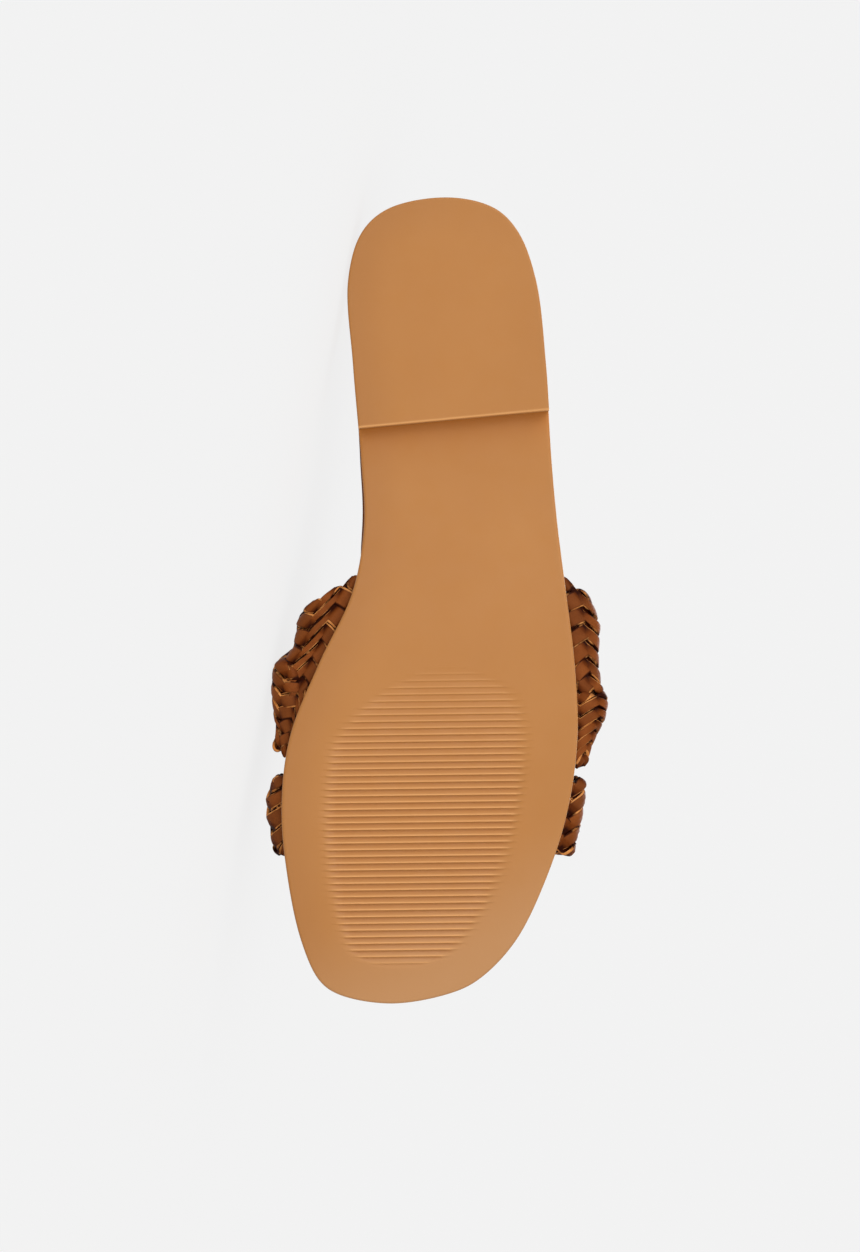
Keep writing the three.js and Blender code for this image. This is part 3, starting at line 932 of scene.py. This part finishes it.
def rubber(name):
    """Satin moulded rubber, slightly clouded, with painted shade, bounce light, sheen and highlights from a
    mesh's shares.
    """
    nodes = Nodes(name)
    cloud = nodes.span(nodes.noise(scale=28, detail=4), low=0.32, high=0.68)
    colour = nodes.mix(cloud, CARAMEL, CARAMEL_WARM)
    # Painted shade, sheen, bounce light and highlights, each in the share that the mesh gives
    for shade, tint in RUBBER_PAINTED_LIGHT.items():
        colour = nodes.mix(nodes.attribute(shade), colour, tint)
    nodes.feed("Base Color", colour)
    gloss = nodes.noise(scale=170, detail=4)
    nodes.feed("Roughness", nodes.span(gloss, low=0.3, high=0.7, to_low=0.42, to_high=0.54))
    fine = nodes.bump(nodes.noise(scale=2600, detail=2), strength=0.12, distance=0.00006)
    uneven = nodes.bump(nodes.noise(scale=120, detail=2), strength=0.1, distance=0.0004, before=fine)
    nodes.feed("Normal", uneven)
    nodes.set(Specular_IOR_Level=0.4)
    return nodes.material


def leather_grain(nodes, strength):
    """Fine pores over a soft unevenness."""
    cells = nodes.add("ShaderNodeTexVoronoi", Scale=1500.0, feature="DISTANCE_TO_EDGE")
    nodes.link(nodes.coordinates(), cells.inputs["Vector"])
    pores = nodes.bump(nodes.span(cells.outputs["Distance"], low=0, high=0.25), strength, distance=0.00008)
    return nodes.bump(nodes.noise(scale=420, detail=3), strength, distance=0.00025, before=pores)


def strip_leather(name):
    """Brown strips of differing tone, with a painted sheen on top, painted shade where they dip and along
    their edges, and frayed tan cut edges.
    """
    nodes = Nodes(name)
    patches = nodes.span(nodes.noise(scale=240, detail=4, roughness=0.6), low=0.3, high=0.7)
    colour = nodes.mix(patches, BROWN, BROWN_LIGHT)
    colour = nodes.mix(nodes.span(nodes.attribute("tone"), low=0, high=1, to_high=0.5), colour, BROWN_DARK_AND_SHADE)
    depth = nodes.attribute("depth")
    edge = nodes.attribute("edge")
    # Painted sheen on the strips' tops
    colour = nodes.mix(nodes.span(depth, low=0.75, high=1, to_high=0.25), colour, BROWN_SHEEN)
    # Painted shade where a strip dips under the others
    colour = nodes.mix(nodes.span(depth, low=-0.3, high=1, to_low=1, to_high=0), colour, BROWN_DARK_AND_SHADE)
    # Painted shade in the crevices along the strips' edges
    colour = nodes.mix(edge, colour, BROWN_DARK_AND_SHADE)
    fibres = nodes.span(nodes.noise(scale=330, detail=3), low=0.35, high=0.65)
    raw = nodes.mix(fibres, RAW_EDGE, RAW_EDGE_LIGHT)
    fray = nodes.span(nodes.noise(scale=190, detail=3), low=0.45, high=0.57)
    colour = nodes.mix(nodes.product(nodes.span(edge, low=0.6, high=1), fray), colour, raw)
    nodes.feed("Base Color", colour)
    gloss = nodes.noise(scale=500, detail=3)
    nodes.feed("Roughness", nodes.span(gloss, low=0.3, high=0.7, to_low=0.34, to_high=0.5))
    nodes.feed("Normal", leather_grain(nodes, strength=0.25))
    nodes.set(Specular_IOR_Level=0.035)
    return nodes.material


def cover_leather(name, smoothest, roughest):
    """Plain brown leather for the footbed and the straps' backing."""
    nodes = Nodes(name)
    patches = nodes.span(nodes.noise(scale=45, detail=5, roughness=0.6), low=0.3, high=0.7)
    nodes.feed("Base Color", nodes.mix(patches, COVER, COVER_LIGHT))
    gloss = nodes.noise(scale=300, detail=3)
    nodes.feed("Roughness", nodes.span(gloss, low=0.3, high=0.7, to_low=smoothest, to_high=roughest))
    nodes.feed("Normal", leather_grain(nodes, strength=0.4))
    nodes.set(Specular_IOR_Level=0.2)
    return nodes.material


# Stage

FLOOR_SIZE = 60
FLOOR_COLOUR = (0.1, 0.1, 0.1)
FLOOR_GLOW = 0.804
WORLD_STRENGTH = 0.85

# Soft lights on the sandal alone: strength, angle from the sole's normal, angle from the heel's direction
# towards the outer side, and how wide the light is
LAMPS = {
    "key": {"strength": 1.8, "from_normal": 46, "from_heel": 20, "softness": 60},
    "fill": {"strength": 1.1, "from_normal": 8, "from_heel": 90, "softness": 90},
    "top": {"strength": 1.6, "from_normal": 140, "from_heel": 75, "softness": 50},
}


def stage():
    """Pale floor, which glows evenly so that the sandal's shadow on it stays faint."""
    half = FLOOR_SIZE / 2
    corners = [(-half, -half, 0), (half, -half, 0), (half, half, 0), (-half, half, 0)]
    mesh = bpy.data.meshes.new("floor")
    mesh.from_pydata(corners, [], [(0, 1, 2, 3)])
    nodes = Nodes("pale_floor")
    nodes.set(Base_Color=(*FLOOR_COLOUR, 1), Roughness=0.9, Specular_IOR_Level=0.0)
    nodes.set(Emission_Color=(1, 1, 1, 1), Emission_Strength=FLOOR_GLOW)
    mesh.materials.append(nodes.material)
    floor = bpy.data.objects.new("floor", mesh)
    bpy.context.scene.collection.objects.link(floor)
    floor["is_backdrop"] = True


def lights():
    """Even light all round, and lamps that light the sandal and leave the floor plain."""
    world = bpy.data.worlds.new("studio")
    world.use_nodes = True
    world.node_tree.nodes["Background"].inputs["Color"].default_value = (1, 1, 1, 1)
    world.node_tree.nodes["Background"].inputs["Strength"].default_value = WORLD_STRENGTH
    bpy.context.scene.world = world
    lit = bpy.data.collections.new("lit_by_lamps")
    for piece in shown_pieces():
        lit.objects.link(piece)
    for name, lamp in LAMPS.items():
        tilt, round_to = math.radians(lamp["from_normal"]), math.radians(lamp["from_heel"])
        beside = np.array([math.sin(round_to), -math.cos(round_to), 0])
        toward = TURN @ (math.sin(tilt) * beside + np.array([0, 0, -math.cos(tilt)]))
        data = bpy.data.lights.new(name, "SUN")
        data.energy = lamp["strength"]
        data.angle = math.radians(lamp["softness"])
        light = bpy.data.objects.new(name, data)
        light.rotation_mode = "QUATERNION"
        light.rotation_quaternion = Vector(toward).to_track_quat("Z", "Y")
        light.light_linking.receiver_collection = lit
        bpy.context.scene.collection.objects.link(light)


def camera():
    """Looks straight at the underside of the sole, with the heel towards the top of the picture."""
    right, up, back = TURN[:, 0], -TURN[:, 1], -TURN[:, 2]
    data = bpy.data.cameras.new("camera")
    data.sensor_width = SENSOR
    data.lens = SENSOR * VIEW_DISTANCE / (PHOTO["height"] * PHOTO["mm_per_pixel"])
    data.clip_start = CLIP_START
    data.clip_end = 4 * FLOOR_SIZE
    view = bpy.data.objects.new("camera", data)
    place = to_row(VIEW_CENTRE) + back * VIEW_DISTANCE * MM
    rows = [[*row, p] for row, p in zip(np.column_stack([right, up, back]), place)]
    view.matrix_world = Matrix([*rows, [0, 0, 0, 1]])
    bpy.context.scene.collection.objects.link(view)
    bpy.context.scene.camera = view


def sandal():
    """All pieces of the sandal, each in its material."""
    outsole(rubber("sole_rubber_satin"))
    heel_lift(rubber("heel_rubber_satin"))
    footbed(cover_leather("footbed_leather", smoothest=0.43, roughest=0.57))
    backing = cover_leather("backing_leather", smoothest=0.53, roughest=0.67)
    strips = strip_leather("strip_leather")
    rng = np.random.default_rng(SEED)
    for name, table, node, slot in (
        ("under", UNDER_STRAP, "cross_straps", "cross_strap_leather"),
        ("over", OVER_STRAP, "cross_straps", "cross_strap_leather"),
        ("toe", TOE_STRAP, "toe_strap", "toe_strap_leather"),
    ):
        strap = Strap(table)
        lining(f"{name}_strap_lining", strap, LINING_RISE[name], backing, node)
        braid(f"{name}_strap_braid", strap, STRIP_COUNT[name], STRIP_SHIFT[name], strips, node, rng)


bpy.context.scene.view_settings.view_transform = "Standard"
stage()
camera()
sandal()
lights()
